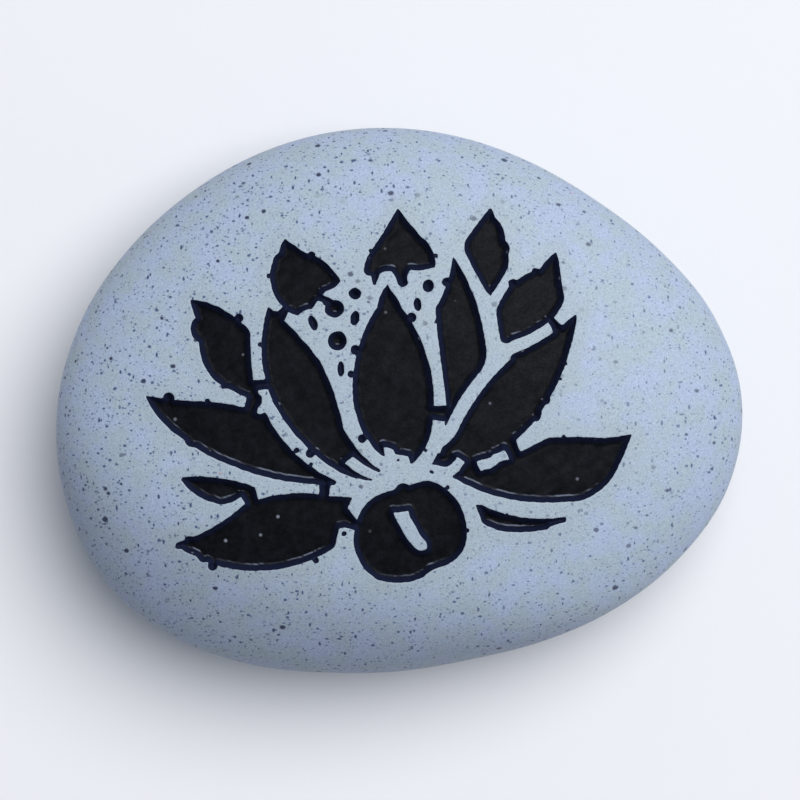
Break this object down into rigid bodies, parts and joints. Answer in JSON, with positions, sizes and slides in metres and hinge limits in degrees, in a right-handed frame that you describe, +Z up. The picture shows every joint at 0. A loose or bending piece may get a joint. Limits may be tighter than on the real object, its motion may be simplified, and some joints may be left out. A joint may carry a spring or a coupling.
{
  "type": "carved stone pebble",
  "caption": "Flat oval river stone with a lotus flower sunk into its upper face and painted black; a decorative stone or paperweight that lies on its flat spot.",
  "frame": {"origin": "on the surface that the stone lies on, under the middle of its box seen from above", "axes": "+Z up out of the carved face, +X along the stone, towards its narrower end on the right of the flower, +Y towards the tips of the flower's upper petals"},
  "size_m": [0.1203, 0.0959, 0.0382],
  "materials": {
    "river_stone": "matte, naturally tumbled, with the sunk flower painted black"
  },
  "bodies": {
    "root": {"carved_pebble": "river_stone"}
  },
  "joints": []
}
